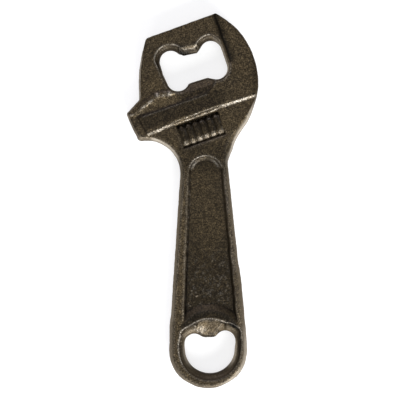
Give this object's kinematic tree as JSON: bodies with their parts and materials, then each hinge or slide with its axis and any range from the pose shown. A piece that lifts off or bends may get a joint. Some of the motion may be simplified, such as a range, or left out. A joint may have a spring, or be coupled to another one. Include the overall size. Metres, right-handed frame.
{
  "type": "bottle opener",
  "caption": "Cast-iron bottle opener shaped like an adjustable wrench, with a cap window between its jaws, a ribbed worm, a hollow-panelled handle and a hanging eye with a prying lip.",
  "frame": {"origin": "middle of the opener's footprint, on the surface it lies on", "axes": "+Z is the normal of the upper face, +Y runs along the handle from the hanging eye to the jaws, +X points to the crescent's side"},
  "size_m": [0.0562, 0.16, 0.009],
  "materials": {
    "cast_iron": "dark bronze-brown, grainy as cast, worn brighter on the edges"
  },
  "bodies": {
    "root": {"handle": "cast_iron", "hang_eye": "cast_iron", "eye_lip": "cast_iron", "worm": "cast_iron", "crescent": "cast_iron", "upper_jaw": "cast_iron", "lower_jaw": "cast_iron", "cap_tooth": "cast_iron"}
  },
  "joints": []
}
